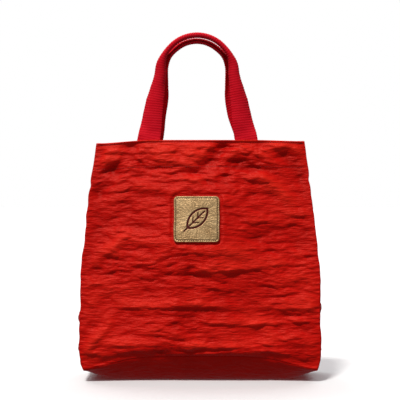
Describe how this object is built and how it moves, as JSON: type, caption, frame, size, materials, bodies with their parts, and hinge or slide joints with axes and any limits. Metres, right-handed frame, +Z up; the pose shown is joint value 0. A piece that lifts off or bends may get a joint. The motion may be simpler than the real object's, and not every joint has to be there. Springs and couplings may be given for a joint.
{
  "type": "tote bag",
  "caption": "Soft crinkled-cloth tote with folding gussets, webbing handles with rolled grips, a leather patch and an opening mouth.",
  "frame": {"origin": "middle of the flat underside", "axes": "+Z up, -Y the front with the leather patch, +X to the right seen from the front"},
  "size_m": [0.3226, 0.1144, 0.4617],
  "materials": {
    "cloth": "crinkled washed nylon, satin",
    "facing": "smooth nylon",
    "webbing": "ribbed woven nylon",
    "leather": "champagne metallic leather",
    "metal": "nickel plate",
    "tape": "grosgrain",
    "label": "satin"
  },
  "bodies": {
    "bag": {"back_panel": "cloth", "left_gusset": "cloth", "right_gusset": "cloth", "base_panel": "cloth", "back_facing": "facing", "left_facing": "facing", "right_facing": "facing", "inner_pocket": "facing", "back_handle_left_end": "webbing", "back_handle_right_end": "webbing", "snap_stud": "metal", "snap_stud_washer": "metal", "back_left_seam_binding": "tape", "back_right_seam_binding": "tape", "base_seam_binding": "tape", "care_label": "label"},
    "front_wall": {"front_panel": "cloth", "front_facing": "facing", "front_handle_left_end": "webbing", "front_handle_right_end": "webbing", "leather_patch": "leather", "snap_socket": "metal", "snap_socket_washer": "metal", "front_left_seam_binding": "tape", "front_right_seam_binding": "tape"},
    "front_handle": {"front_handle": "webbing"},
    "back_handle": {"back_handle": "webbing"}
  },
  "joints": [
    {"name": "mouth_open", "type": "hinge", "parent": "bag", "child": "front_wall", "pos_m": [0, -0.048, 0.014], "axis": [1, 0, 0], "range_deg": [0, 12], "deforming": ["left_gusset", "right_gusset", "left_facing", "right_facing"]},
    {"name": "front_handle_swing", "type": "hinge", "parent": "front_wall", "child": "front_handle", "pos_m": [-0.004, -0.01868, 0.324], "axis": [1, 0, 0], "range_deg": [0, 165]},
    {"name": "back_handle_swing", "type": "hinge", "parent": "bag", "child": "back_handle", "pos_m": [0.002, 0.01868, 0.324], "axis": [-1, 0, 0], "range_deg": [0, 165]}
  ]
}
